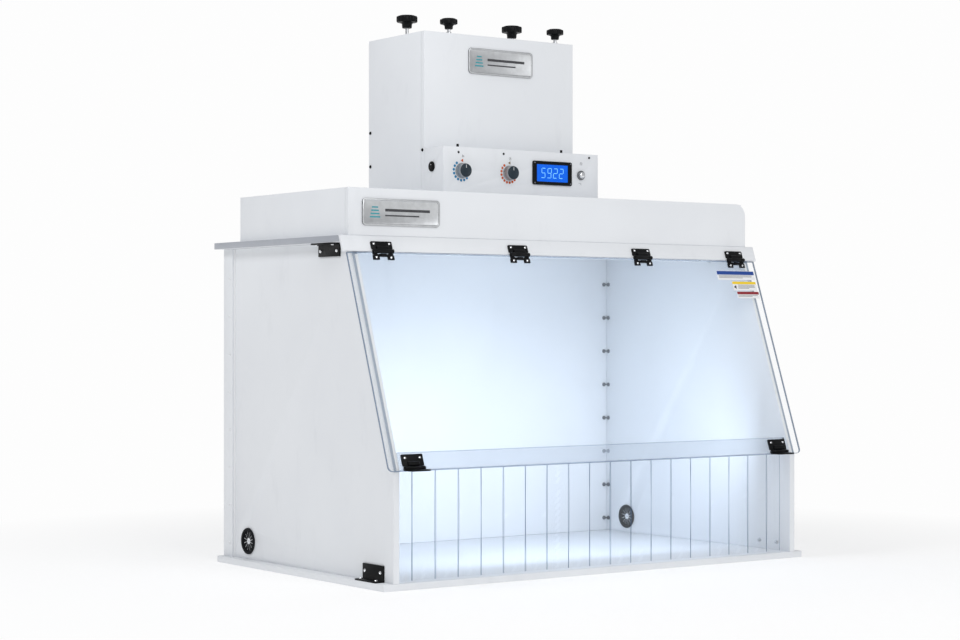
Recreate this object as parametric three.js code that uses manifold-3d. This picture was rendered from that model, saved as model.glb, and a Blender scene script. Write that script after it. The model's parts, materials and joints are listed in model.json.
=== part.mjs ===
// Benchtop ductless fume hood: welded white polypropylene cabinet with a sloping lift-up sash,
// a slit curtain under it, a filter plenum and a fan tower on top.
// Units mm, +Z up, front towards -Y, origin on the underside centre of the base slab.
import * as THREE from "three";
import { mergeVertices } from "three/addons/utils/BufferGeometryUtils.js";
import Module from "manifold-3d";

const wasm = await Module();
wasm.setup();

// ---- driving dimensions ----
const SHEET = 12.7; // half-inch polypropylene sheet
const BASE_W = 1016;
const BASE_D = 610;
const BASE_LIP = 20.6; // base showing outside each side panel
const CHAMBER_H = 611.3; // side panel height above the base
const KINK_H = 198.3; // upright part of the side panel's front edge
const SLOPE_DEG = 19.7; // lean of the sash from vertical
const TOP_REAR_LIP = 13; // top slab past the base at the rear
const ANGLE_LEG = 35;
const ANGLE_T = 6;
const HEADER_T = 5.9;
const HEADER_H = 31;
const SASH_T = 4.5;
const SASH_OVER = 13; // sash past the side panels, each side
const SASH_CORNER_R = 9;
const PLENUM_W = 978;
const PLENUM_D = 403;
const PLENUM_H = 88.3;
const PLENUM_CORNER_R = 25;
const TOWER_W = 374;
const TOWER_D = 204;
const TOWER_H = 333;
const BOX_W = 387; // control box
const BOX_D = 67;
const BOX_H = 99;
const BOX_WALL = 6;
const CURTAIN_PITCH = 50.8;
const CURTAIN_T = 1.5;
const STRIPS = [6, 7, 6]; // strips on each curtain section
const FIRST_STRIP = 38.7; // trimmed width of the outermost left strip
const LAST_STRIP = 36.6; // trimmed width of the outermost right strip
const RAIL_H = 32;
const RAIL_T = 6;
const HINGE_W = 46;
const LEAF_T = 2.5;
const BARREL_R = 4;
const PIN_R = 1.8;
const TOP_HINGES = [-424, -111, 197, 447];
const LIFT_TABS = [-448, 438];
const GROMMET_R = 26;
const KNOB_X = [-110, 160]; // lid clamp knobs
const KNOB_INSET = 26; // knob centres in from the tower's front and rear faces
const DIAL_X = [-143.5, -27.5]; // fan and light dials
const BUTTON_X = 155;
const DISPLAY_X = 80;

// ---- clearances ----
const SEAT = 0.1; // pieces resting on a sloping face
const SLIP = 0.3; // loose pieces side by side
const RUN = 0.08; // radial, shafts and pins in their bores
const SLIT = 0.6; // between curtain strips
const SASH_GAP = 2; // header to sash

// ---- derived ----
const BW = BASE_W / 2;
const BD = BASE_D / 2;
const SIDE_OUT = BW - BASE_LIP;
const SIDE_IN = SIDE_OUT - SHEET;
const FRONT = -BD;
const REAR = BD - ANGLE_T; // rear face of the back panel
const Z_FLOOR = SHEET;
const Z_KINK = Z_FLOOR + KINK_H;
const Z_SLAB = Z_FLOOR + CHAMBER_H;
const Z_DECK = Z_SLAB + SHEET;
const LEAN = (SLOPE_DEG * Math.PI) / 180;
const SIN = Math.sin(LEAN);
const COS = Math.cos(LEAN);
const slopeY = (z) => FRONT + (z - Z_KINK) * Math.tan(LEAN);
const PL_FRONT = slopeY(Z_DECK) - HEADER_T / COS + 1.9;
const PL_REAR = PL_FRONT + PLENUM_D;
const PW = PLENUM_W / 2;
const Z_PLENUM = Z_DECK + PLENUM_H;
const TW = TOWER_W / 2;
const TW_REAR = PL_REAR;
const TW_FRONT = TW_REAR - TOWER_D;
const Z_TOWER = Z_PLENUM + TOWER_H;
const KNOB_Y = [TW_FRONT + KNOB_INSET, TW_REAR - KNOB_INSET];
const BOX_LEFT = -TW;
const BOX_FRONT = TW_FRONT - BOX_D;
const Z_BOX = Z_PLENUM + BOX_H;
const Z_DIAL = Z_PLENUM + 52;
const HEADER_BOTTOM = (Z_DECK - Z_KINK) / COS - HEADER_H - HEADER_T * Math.tan(LEAN);
const PIVOT_S = HEADER_BOTTOM - SASH_GAP / 2;
const FACE_N = HEADER_T + SEAT; // outer face of the header and sash
const PIVOT_N = FACE_N + 0.2 + BARREL_R;

// ---- geometry helpers ----
const V = (u, v) => new THREE.Vector2(u, v);

function solidOf(geometry) {
  const g = geometry.clone();
  g.deleteAttribute("normal");
  g.deleteAttribute("uv");
  const merged = mergeVertices(g, 1e-5);
  const index = merged.index.array;
  const keep = [];
  for (let i = 0; i < index.length; i += 3) {
    const [a, b, c] = [index[i], index[i + 1], index[i + 2]];
    if (a !== b && b !== c && a !== c) keep.push(a, b, c);
  }
  const build = (tris) =>
    new wasm.Manifold(
      new wasm.Mesh({
        numProp: 3,
        vertProperties: merged.attributes.position.array,
        triVerts: new Uint32Array(tris),
      }),
    );
  const made = build(keep);
  return made.volume() > 0 ? made : build(keep.reverse());
}

// An outline with holes, given in the two other axes in x, y, z order, carried along one axis.
function prism(axis, outline, from, to, holes = []) {
  const rings = [outline, ...holes].map((r, k) => {
    const ccw = THREE.ShapeUtils.area(r) > 0;
    return ccw === (k === 0) ? r : [...r].reverse();
  });
  const faces = THREE.ShapeUtils.triangulateShape(rings[0], rings.slice(1));
  const flat = rings.flat();
  const n = flat.length;
  const place = { x: (p, w) => [w, p.x, p.y], y: (p, w) => [p.x, w, p.y], z: (p, w) => [p.x, p.y, w] };
  const at = place[axis];
  const position = [...flat.flatMap((p) => at(p, from)), ...flat.flatMap((p) => at(p, to))];
  const index = faces.flatMap(([a, b, c]) => [c, b, a, a + n, b + n, c + n]);
  let start = 0;
  for (const ring of rings) {
    ring.forEach((_, i) => {
      const a = start + i;
      const b = start + ((i + 1) % ring.length);
      index.push(a, b, b + n, a, b + n, a + n);
    });
    start += ring.length;
  }
  const g = new THREE.BufferGeometry();
  g.setAttribute("position", new THREE.Float32BufferAttribute(position, 3));
  g.setIndex(index);
  return solidOf(g);
}

const rect = (u0, u1, v0, v1) => [V(u0, v0), V(u1, v0), V(u1, v1), V(u0, v1)];
const circle = (u, v, r, n = 40) =>
  Array.from({ length: n }, (_, i) => {
    const a = (2 * Math.PI * i) / n;
    return V(u + r * Math.cos(a), v + r * Math.sin(a));
  });

// A rectangle with its corners rounded: radii for lower left, lower right, upper right, upper left.
function roundRect(u0, u1, v0, v1, radii, n = 6) {
  const corners = [
    [u0, v0, 1, 1, Math.PI],
    [u1, v0, -1, 1, 1.5 * Math.PI],
    [u1, v1, -1, -1, 0],
    [u0, v1, 1, -1, 0.5 * Math.PI],
  ];
  return corners.flatMap(([u, v, su, sv, a0], k) => {
    const r = radii[k];
    if (!r) return [V(u, v)];
    return Array.from({ length: n + 1 }, (_, i) => {
      const a = a0 + (0.5 * Math.PI * i) / n;
      return V(u + su * r + r * Math.cos(a), v + sv * r + r * Math.sin(a));
    });
  });
}

const box = (x0, x1, y0, y1, z0, z1) => prism("z", rect(x0, x1, y0, y1), z0, z1);
const rod = (axis, u, v, r, from, to, n = 32) => prism(axis, circle(u, v, r, n), from, to);
const join = (...parts) => parts.reduce((a, b) => a.add(b));
const cut = (body, ...tools) => tools.reduce((a, b) => a.subtract(b), body);

// A turned piece: [radius, height] points from the bottom up, about the z axis.
const turned = (points, n = 40) =>
  solidOf(new THREE.LatheGeometry(points.map(([r, h]) => V(r, h)), n).rotateX(Math.PI / 2));

// Pieces drawn flat in x, s (up the slope), n (outwards) and laid on the sash plane.
const slopePoint = (s, n) => [FRONT + s * SIN - n * COS, Z_KINK + s * COS + n * SIN];
const sloped = (solid) => {
  const [y, z] = slopePoint(0, 0);
  return solid.transform([1, 0, 0, 0, 0, SIN, COS, 0, 0, -COS, SIN, 0, 0, y, z, 1]);
};

const group = new THREE.Group();
const paint = (color, roughness, metalness = 0, extra = {}) =>
  ({ color, roughness, metalness, flatShading: true, ...extra });
const WHITE = paint(0xeceff1, 0.55);
const CLEAR = paint(0xd8ecf6, 0.1, 0, { transparent: true, opacity: 0.35 });
const BLACK = paint(0x17181b, 0.5);
const STEEL = paint(0xb9bcc0, 0.3, 1);
const FOAM = paint(0xf4f5f5, 0.9);
const RUBBER = paint(0x1d1f21, 0.8);

function add(name, solid, look) {
  const m = solid.getMesh();
  const n = m.numProp;
  const position = new Float32Array(m.numVert * 3);
  for (let i = 0; i < m.numVert; i++) position.set(m.vertProperties.subarray(i * n, i * n + 3), i * 3);
  const g = new THREE.BufferGeometry();
  g.setAttribute("position", new THREE.BufferAttribute(position, 3));
  g.setIndex(new THREE.BufferAttribute(m.triVerts, 1));
  g.computeVertexNormals();
  const mesh = new THREE.Mesh(g, new THREE.MeshStandardMaterial(look));
  mesh.name = name;
  group.add(mesh);
}

// ---- cabinet ----
add("base_slab", box(-BW, BW, -BD, BD, 0, Z_FLOOR), WHITE);

const PORT_Y = BD - 90; // cable port centre
const PORT_Z = Z_FLOOR + 35;
const PORT_R = 23;
const sideOutline = [
  V(FRONT, Z_FLOOR),
  V(REAR, Z_FLOOR),
  V(REAR, Z_SLAB),
  V(slopeY(Z_SLAB), Z_SLAB),
  V(FRONT, Z_KINK),
];
for (const [side, sx] of [["left", -1], ["right", 1]]) {
  const panel = prism("x", sideOutline, sx * SIDE_IN, sx * SIDE_OUT, [circle(PORT_Y, PORT_Z, PORT_R)]);
  add(`side_panel_${side}`, panel, WHITE);
}
add("back_panel", box(-SIDE_IN, SIDE_IN, REAR - SHEET, REAR, Z_FLOOR, Z_SLAB), WHITE);

const FILTER_X = 330; // half width of the opening under the filter
const FILTER_Y = [PL_FRONT + 87, PL_REAR - 56];
const slabOutline = [
  V(slopeY(Z_SLAB), Z_SLAB),
  V(BD + TOP_REAR_LIP, Z_SLAB),
  V(BD + TOP_REAR_LIP, Z_DECK),
  V(slopeY(Z_DECK), Z_DECK),
];
const slab = cut(
  prism("x", slabOutline, -BW, BW),
  box(-FILTER_X, FILTER_X, ...FILTER_Y, Z_SLAB - 1, Z_DECK + 1),
);
add("top_slab", slab, WHITE);

const headerOutline = [
  V(...slopePoint(HEADER_BOTTOM, SEAT)),
  V(FRONT + (Z_DECK - Z_KINK) * Math.tan(LEAN) - SEAT / COS, Z_DECK),
  V(FRONT + (Z_DECK - Z_KINK) * Math.tan(LEAN) - FACE_N / COS, Z_DECK),
  V(...slopePoint(HEADER_BOTTOM, FACE_N)),
];
add("header_strip", prism("x", headerOutline, -BW, BW), WHITE);

for (const [side, sx] of [["left", -1], ["right", 1]]) {
  const out = sx * (SIDE_OUT + ANGLE_T);
  const outline = [
    V(sx * SIDE_OUT, BD - ANGLE_LEG),
    V(out, BD - ANGLE_LEG),
    V(out, BD),
    V(out - sx * ANGLE_LEG, BD),
    V(out - sx * ANGLE_LEG, REAR),
    V(sx * SIDE_OUT, REAR),
  ];
  add(`corner_angle_${side}`, prism("z", outline, Z_FLOOR, Z_SLAB), WHITE);

  const x = [sx * SIDE_IN, sx * (SIDE_IN + SHEET / 2)];
  const seal = prism("z", rect(...x, 2, PIVOT_S - 3), SEAT, SEAT + 1.2);
  add(`foam_seal_${side}`, sloped(seal), FOAM);
}

// Black right-angle brackets between the side panels and the slabs above and below them.
const BRACKET_T = 3;
const BRACKET_LEG = 19.6;
const BRACKETS = [
  { at: "top", y: [-128, -53], z: Z_SLAB, rise: -25 },
  { at: "bottom", y: [-276, -207], z: Z_FLOOR, rise: 30 },
];
for (const { at, y, z, rise } of BRACKETS) {
  for (const [side, sx] of [["left", -1], ["right", 1]]) {
    const t = Math.sign(rise) * BRACKET_T;
    const outline = [
      V(sx * SIDE_OUT, z),
      V(sx * (SIDE_OUT + BRACKET_LEG), z),
      V(sx * (SIDE_OUT + BRACKET_LEG), z + t),
      V(sx * (SIDE_OUT + BRACKET_T), z + t),
      V(sx * (SIDE_OUT + BRACKET_T), z + rise),
      V(sx * SIDE_OUT, z + rise),
    ];
    add(`bracket_${at}_${side}`, prism("y", outline, ...y), BLACK);
  }
}

// Rubber cable grommets: a groove that holds the panel, a small centre hole and a slit membrane.
for (const [side, sx] of [["left", -1], ["right", 1]]) {
  const hole = 4;
  const flange = 3;
  const waist = PORT_R - SLIP;
  const points = [
    [hole, -flange - SEAT],
    [GROMMET_R - 1, -flange - SEAT],
    [GROMMET_R, -flange + 1],
    [GROMMET_R, -SEAT],
    [waist, -SEAT],
    [waist, SHEET + SEAT],
    [GROMMET_R, SHEET + SEAT],
    [GROMMET_R, SHEET + flange - 1],
    [GROMMET_R - 1, SHEET + flange + SEAT],
    [hole, SHEET + flange + SEAT],
    [hole, -flange - SEAT],
  ];
  const ring = turned(points).rotate([0, sx * 90, 0]).translate([sx * SIDE_IN, PORT_Y, PORT_Z]);
  add(`grommet_${side}`, ring, RUBBER);
}

// ---- sash, its hinges and lift tabs ----
const SASH_X = SIDE_OUT + SASH_OVER;
const SASH_TOP = HEADER_BOTTOM - SASH_GAP;
const sashOutline = roundRect(-SASH_X, SASH_X, 0, SASH_TOP, [SASH_CORNER_R, SASH_CORNER_R, 0, 0]);
add("sash", sloped(prism("z", sashOutline, FACE_N - SASH_T, FACE_N)), CLEAR);

const HW = HINGE_W / 2;
const MID = 12; // half length of the middle knuckle
const KNUCKLE_END = HW - 1;
const LEAF_START = BARREL_R + 0.8; // leaf edge clear of the other leaf's knuckles
const LEAF_N = [FACE_N + SEAT, FACE_N + SEAT + LEAF_T];
const barrel = (x0, x1, s, n, r) => rod("x", s, n, r, x0, x1, 24);

// The fixed leaf holds the pin; the moving leaf turns on it with its two outer knuckles.
function pinLeaf(x, s, reach, dir) {
  const plate = prism(
    "z",
    roundRect(x - HW, x + HW, ...[s + dir * LEAF_START, s + dir * reach].sort((a, b) => a - b), [2, 2, 2, 2], 3),
    ...LEAF_N,
  );
  const neck = [s, s + dir * (LEAF_START + 1)].sort((a, b) => a - b);
  return join(
    plate,
    box(x - MID, x + MID, ...neck, ...LEAF_N),
    barrel(x - MID, x + MID, s, PIVOT_N, BARREL_R),
    barrel(x - KNUCKLE_END - 1, x + KNUCKLE_END + 1, s, PIVOT_N, PIN_R),
  );
}

function turningLeaf(x, s, outline, dir) {
  const neck = [s, s + dir * (LEAF_START + 1)].sort((a, b) => a - b);
  const spans = [
    [x - KNUCKLE_END, x - MID - SLIP],
    [x + MID + SLIP, x + KNUCKLE_END],
  ];
  const knuckles = spans.flatMap((span) => [
    box(...span, ...neck, ...LEAF_N),
    barrel(...span, s, PIVOT_N, BARREL_R),
  ]);
  return cut(
    join(prism("z", outline, ...LEAF_N), ...knuckles),
    barrel(x - HW - 2, x + HW + 2, s, PIVOT_N, PIN_R + RUN),
  );
}

const UPPER_REACH = 20;
const LOWER_REACH = 16;
TOP_HINGES.forEach((x, i) => {
  add(`hinge_upper_${i + 1}`, sloped(pinLeaf(x, PIVOT_S, UPPER_REACH, 1)), BLACK);
  const [low, high] = [PIVOT_S - LOWER_REACH, PIVOT_S - LEAF_START];
  const ears = [
    V(x - HW, low),
    V(x - 9, low),
    V(x - 9, low + 6),
    V(x + 9, low + 6),
    V(x + 9, low),
    V(x + HW, low),
    V(x + HW, low + 8),
    V(x + HW - 3, high),
    V(x - HW + 3, high),
    V(x - HW, low + 8),
  ];
  add(`hinge_lower_${i + 1}`, sloped(turningLeaf(x, PIVOT_S, ears, -1)), BLACK);
});

// Lift tabs: the moving leaf stands out level from the sash's bottom edge.
const TAB_S = 3;
const TAB_REACH = 24;
LIFT_TABS.forEach((x, i) => {
  const side = i ? "right" : "left";
  add(`tab_leaf_${side}`, sloped(pinLeaf(x, TAB_S, 27, 1)), BLACK);
  const [low, high] = [TAB_S - TAB_REACH, TAB_S - LEAF_START];
  const outline = [
    V(x - HW + 6, low),
    V(x + HW - 6, low),
    V(x + HW, low + 6),
    V(x + HW, high),
    V(x - HW, high),
    V(x - HW, low + 6),
  ];
  const flat = turningLeaf(x, TAB_S, outline, -1).translate([0, -TAB_S, -PIVOT_N]);
  const raised = flat.rotate([SLOPE_DEG - 90, 0, 0]).translate([0, TAB_S, PIVOT_N]);
  add(`lift_tab_${side}`, sloped(raised), BLACK);
});

// ---- curtain rail and strips ----
const RAIL_Y = FRONT + 17;
const Z_RAIL = Z_KINK + 1;
add("curtain_rail", box(-SIDE_IN, SIDE_IN, RAIL_Y, RAIL_Y + RAIL_T, Z_RAIL, Z_RAIL + RAIL_H), CLEAR);

const STRIP_TOP = Z_RAIL - 0.9;
const STRIP_FOOT = Z_FLOOR + 2.5;
const BAND = 6; // uncut band the strips of a section hang from
const CURTAIN_Y = RAIL_Y + RAIL_T / 2;
const stripCount = STRIPS.reduce((a, b) => a + b);
const edges = [-SIDE_IN + 1];
for (let i = 0; i < stripCount; i++) {
  const width = i === 0 ? FIRST_STRIP : i === stripCount - 1 ? LAST_STRIP : CURTAIN_PITCH;
  edges.push(edges[i] + width);
}
let first = 0;
STRIPS.forEach((count, k) => {
  const last = first + count;
  const outline = [V(edges[last] - SLIT / 2, STRIP_TOP), V(edges[first] + SLIT / 2, STRIP_TOP)];
  for (let i = first; i < last; i++) {
    const [left, right] = [edges[i] + SLIT / 2, edges[i + 1] - SLIT / 2];
    outline.push(V(left, STRIP_FOOT), V(right, STRIP_FOOT));
    if (i < last - 1) outline.push(V(right, STRIP_TOP - BAND), V(right + SLIT, STRIP_TOP - BAND));
  }
  const sheet = prism("y", outline, CURTAIN_Y - CURTAIN_T / 2, CURTAIN_Y + CURTAIN_T / 2);
  add(`curtain_${k + 1}`, sheet, CLEAR);
  first = last;
});

// ---- plenum ----
const plenumOutline = [
  V(-PW, PL_FRONT + SHEET),
  V(-PW + SHEET, PL_FRONT + SHEET),
  V(-PW + SHEET, PL_REAR - SHEET),
  V(PW - SHEET, PL_REAR - SHEET),
  V(PW - SHEET, PL_FRONT + SHEET),
  V(PW, PL_FRONT + SHEET),
  V(PW, PL_REAR),
  V(-PW, PL_REAR),
];
add("plenum_shell", prism("z", plenumOutline, Z_DECK, Z_PLENUM), WHITE);
const plateOutline = roundRect(-PW, PW, Z_DECK, Z_PLENUM, [0, 0, PLENUM_CORNER_R, 0], 8);
add("plenum_front", prism("y", plateOutline, PL_FRONT, PL_FRONT + SHEET), WHITE);

const FAN_Y = (TW_FRONT + TW_REAR) / 2;
const FAN_BORE = 80;
const plenumTop = prism(
  "z",
  rect(-PW + SHEET, PW - SHEET, PL_FRONT + SHEET, PL_REAR - SHEET),
  Z_PLENUM - SHEET,
  Z_PLENUM,
  [circle(0, FAN_Y, FAN_BORE)],
);
add("plenum_top", plenumTop, WHITE);

// Filter cartridge: a frame resting on the deck round the opening, with pleated media inside it.
const FILTER_RIM = 15;
const FILTER_T = 50;
const FRAME_W = 12;
const fx = FILTER_X + FILTER_RIM;
const fy = [FILTER_Y[0] - FILTER_RIM, FILTER_Y[1] + FILTER_RIM];
const PLEATS = 22;
const pleatPitch = (2 * (fx - FRAME_W) + 2) / PLEATS;
const ridge = (z) =>
  Array.from({ length: 2 * PLEATS + 1 }, (_, i) =>
    V(-fx + FRAME_W - 1 + (i * pleatPitch) / 2, z + (i % 2 ? 14 : 0)),
  );
const media = prism(
  "y",
  [...ridge(Z_DECK + 8), ...ridge(Z_DECK + 26).reverse()],
  fy[0] + FRAME_W - 1,
  fy[1] - FRAME_W + 1,
);
const frame = prism("z", rect(-fx, fx, ...fy), Z_DECK, Z_DECK + FILTER_T, [
  rect(-fx + FRAME_W, fx - FRAME_W, fy[0] + FRAME_W, fy[1] - FRAME_W),
]);
add("filter", join(frame, media), paint(0xd9dcd4, 0.8));

// Light bar under the top slab, just behind the header.
const LIGHT_Y = [-138, -98];
const lightOutline = [
  V(LIGHT_Y[0], Z_SLAB),
  V(LIGHT_Y[0], Z_SLAB - 10),
  V(LIGHT_Y[0] + 6, Z_SLAB - 18),
  V(LIGHT_Y[1] - 6, Z_SLAB - 18),
  V(LIGHT_Y[1], Z_SLAB - 10),
  V(LIGHT_Y[1], Z_SLAB),
];
add("light_bar", prism("x", lightOutline, -430, 430), paint(0xf8fbff, 0.3, 0, { emissive: 0x8fb0c8 }));

// ---- tower ----
const towerOutline = [
  V(-TW, TW_FRONT + SHEET),
  V(-TW + SHEET, TW_FRONT + SHEET),
  V(-TW + SHEET, TW_REAR - SHEET),
  V(TW - SHEET, TW_REAR - SHEET),
  V(TW - SHEET, TW_FRONT + SHEET),
  V(TW, TW_FRONT + SHEET),
  V(TW, TW_REAR),
  V(-TW, TW_REAR),
];
const VENTS = 8;
const vents = Array.from({ length: VENTS }, (_, i) => {
  const z = Z_PLENUM + 130 + i * 18;
  const outline = roundRect(-120, 120, z, z + 8, [3.9, 3.9, 3.9, 3.9], 4);
  return prism("y", outline, TW_REAR - SHEET - 1, TW_REAR + 1);
});
add("tower_shell", cut(prism("z", towerOutline, Z_PLENUM, Z_TOWER), ...vents), WHITE);
add("tower_front", box(-TW, TW, TW_FRONT, TW_FRONT + SHEET, Z_PLENUM, Z_TOWER), WHITE);

// Ledge frame inside the tower with four threaded studs that stand through the lid.
const inX = TW - SHEET;
const inY = [TW_FRONT + SHEET, TW_REAR - SHEET];
const LEDGE = 24;
const STUD_R = 3;
const Z_LEDGE = Z_TOWER - SHEET;
const KNOBS = [
  { x: KNOB_X[0], y: KNOB_Y[0], r: 18, top: 33 },
  { x: KNOB_X[1], y: KNOB_Y[0], r: 18, top: 33 },
  { x: KNOB_X[0], y: KNOB_Y[1], r: 22, top: 57 },
  { x: KNOB_X[1], y: KNOB_Y[1], r: 22, top: 57 },
];
const ledge = prism("z", rect(-inX, inX, ...inY), Z_LEDGE - SHEET, Z_LEDGE, [
  rect(-inX + LEDGE, inX - LEDGE, inY[0] + LEDGE, inY[1] - LEDGE),
]);
const studs = KNOBS.map(({ x, y, top }) => rod("z", x, y, STUD_R, Z_LEDGE - 5, Z_TOWER + top - 6, 24));
add("stud_frame", join(ledge, ...studs), paint(0xd5d8da, 0.4));

const lid = prism(
  "z",
  rect(-inX + SLIP, inX - SLIP, inY[0] + SLIP, inY[1] - SLIP),
  Z_LEDGE,
  Z_TOWER,
  KNOBS.map(({ x, y }) => circle(x, y, STUD_R + 2 * SLIP, 24)),
);
add("lid", lid, WHITE);

// Clamp knobs: lobed head, hub and a steel sleeve that presses on the lid.
KNOBS.forEach(({ x, y, r, top }, i) => {
  const lobes = 12;
  const outline = Array.from({ length: lobes * 6 }, (_, k) => {
    const a = (2 * Math.PI * k) / (lobes * 6);
    const rr = r - 0.7 + 0.7 * Math.cos(lobes * a);
    return V(x + rr * Math.cos(a), y + rr * Math.sin(a));
  });
  const hub = top - 1.2 * r;
  const head = prism("z", outline, Z_TOWER + top - 0.64 * r, Z_TOWER + top - 2);
  const body = turned([
    [0, 0.2],
    [5.5, 0.2],
    [5.5, hub],
    [r * 0.42, hub],
    [r * 0.5, top - 0.68 * r],
    [r * 0.9, top - 0.68 * r],
    [r * 0.9, top - 0.6 * r],
    [r * 0.86, top - 3],
    [r * 0.78, top],
    [0, top],
  ]).translate([x, y, Z_TOWER]);
  const bore = rod("z", x, y, STUD_R + RUN, Z_TOWER - 1, Z_TOWER + top - 5, 24);
  add(`clamp_knob_${i + 1}`, cut(join(head, body), bore), BLACK);
});

// Fan: square housing on the plenum's top with a motor on four struts; rotor on the motor's shaft.
const HOUSING = [FAN_Y - inY[0] - 0.5, 60];
const MOTOR_R = 27;
const housing = prism("z", rect(-88, 88, FAN_Y - HOUSING[0], FAN_Y + HOUSING[0]), Z_PLENUM, Z_PLENUM + HOUSING[1], [
  circle(0, FAN_Y, FAN_BORE, 48),
]);
const struts = [0, 90].map((deg) =>
  box(-FAN_BORE - 2, FAN_BORE + 2, -4, 4, Z_PLENUM + 2, Z_PLENUM + 12)
    .rotate([0, 0, deg + 45])
    .translate([0, FAN_Y, 0]),
);
const SHAFT_R = 4;
const motor = join(
  rod("z", 0, FAN_Y, MOTOR_R, Z_PLENUM + 2, Z_PLENUM + 16),
  rod("z", 0, FAN_Y, SHAFT_R, Z_PLENUM + 14, Z_PLENUM + 36, 24),
);
add("fan_housing", join(housing, ...struts, motor), paint(0x2b2d30, 0.6));

const BLADES = 7;
const ROTOR_Z = [Z_PLENUM + 18, Z_PLENUM + 48];
const hub = rod("z", 0, 0, MOTOR_R - 1, ...ROTOR_Z);
const blade = box(MOTOR_R - 4, FAN_BORE - 4, -1.2, 1.2, -19, 19).rotate([52, 0, 0]);
const blades = Array.from({ length: BLADES }, (_, i) =>
  blade.rotate([0, 0, (360 * i) / BLADES]).translate([0, 0, (ROTOR_Z[0] + ROTOR_Z[1]) / 2]),
);
const rotorBore = rod("z", 0, 0, SHAFT_R + RUN, ROTOR_Z[0] - 1, Z_PLENUM + 36 + SLIP, 24);
add("fan_rotor", cut(join(hub, ...blades), rotorBore).translate([0, FAN_Y, 0]), paint(0x3a3d42, 0.5));

// ---- control box ----
const boxCut = (x, z, r) => rod("y", x, z, r, BOX_FRONT - 1, BOX_FRONT + BOX_WALL + 1, 28);
const SHAFT_HOLE = 3.5;
const BUTTON_R = 6.7;
const ROCKER_Y = TW_FRONT - 27;
const Z_ROCKER = Z_PLENUM + 61;
const ROCKER_BARREL = 8.4;
const controlBox = cut(
  box(BOX_LEFT, BOX_LEFT + BOX_W, BOX_FRONT, TW_FRONT, Z_PLENUM, Z_BOX),
  box(
    BOX_LEFT + BOX_WALL,
    TW - BOX_WALL,
    BOX_FRONT + BOX_WALL,
    TW_FRONT + 1,
    Z_PLENUM + BOX_WALL,
    Z_BOX - BOX_WALL,
  ),
  ...DIAL_X.map((x) => boxCut(x, Z_DIAL, SHAFT_HOLE)),
  boxCut(BUTTON_X, Z_DIAL + 3, BUTTON_R + RUN),
  rod("x", ROCKER_Y, Z_ROCKER, ROCKER_BARREL, BOX_LEFT - 1, BOX_LEFT + BOX_WALL + 1),
);
add("control_box", controlBox, WHITE);

const facing = (points, n) => turned(points, n).rotate([90, 0, 0]);
["fan_dial", "light_dial"].forEach((name, i) => {
  const knob = facing(
    [
      [0, -12],
      [SHAFT_HOLE - RUN, -12],
      [SHAFT_HOLE - RUN, 0.4],
      [15, 0.4],
      [15, 3],
      [14.1, 4.5],
      [13.8, 15],
      [12.6, 16.5],
      [0, 16.5],
    ],
    36,
  );
  const grip = box(-1.1, 1.1, -17.2, -8, 3, 12.6);
  add(name, join(knob, grip).translate([DIAL_X[i], BOX_FRONT, Z_DIAL]), paint(0x35506b, 0.4));
});

const BEZEL = [DISPLAY_X - 49.5, DISPLAY_X + 49.5, Z_PLENUM + 32, Z_PLENUM + 80];
const WINDOW = [DISPLAY_X - 40, DISPLAY_X + 40, Z_PLENUM + 38.5, Z_PLENUM + 73.5];
const bezel = prism("y", roundRect(...BEZEL, [3, 3, 3, 3], 4), BOX_FRONT - 4, BOX_FRONT, [rect(...WINDOW)]);
add("display_bezel", bezel, BLACK);
const pane = rect(WINDOW[0] + SLIP, WINDOW[1] - SLIP, WINDOW[2] + SLIP, WINDOW[3] - SLIP);
const SCREEN = paint(0x1668e8, 0.2, 0, { emissive: 0x1457c8 });
add("display_screen", prism("y", pane, BOX_FRONT - 2.4, BOX_FRONT), SCREEN);

const collar = prism("y", circle(BUTTON_X, Z_DIAL + 3, 9.5), BOX_FRONT - 2.5, BOX_FRONT, [
  circle(BUTTON_X, Z_DIAL + 3, BUTTON_R + RUN, 32),
]);
add("button_collar", collar, STEEL);
const button = facing(
  [
    [0, -16],
    [BUTTON_R, -16],
    [BUTTON_R, 5.2],
    [BUTTON_R * 0.85, 6.6],
    [BUTTON_R * 0.5, 7.6],
    [0, 8],
  ],
  32,
);
add("push_button", button.translate([BUTTON_X, BOX_FRONT, Z_DIAL + 3]), STEEL);

const ROCKER_R = 6.5;
const ROCKER_BORE = 7.3;
const rockerBore = circle(ROCKER_Y, Z_ROCKER, ROCKER_BORE);
const rockerFrame = join(
  prism("x", circle(ROCKER_Y, Z_ROCKER, 10), BOX_LEFT - 2, BOX_LEFT, [rockerBore]),
  prism("x", circle(ROCKER_Y, Z_ROCKER, ROCKER_BARREL - 0.15), BOX_LEFT - 1, BOX_LEFT + BOX_WALL + 4, [
    rockerBore,
  ]),
);
add("rocker_frame", rockerFrame, BLACK);
const ROCKER_T = 5;
const tilt = (deg) =>
  rod("x", 0, 0, ROCKER_R, -ROCKER_T / 2, ROCKER_T / 2).rotate([0, deg, 0]);
const rocker = tilt(9).intersect(tilt(-9)).add(rod("y", 0, 0, 1.4, -ROCKER_R, ROCKER_R, 16));
add("rocker", rocker.translate([BOX_LEFT - 0.4, ROCKER_Y, Z_ROCKER]), RUBBER);

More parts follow.
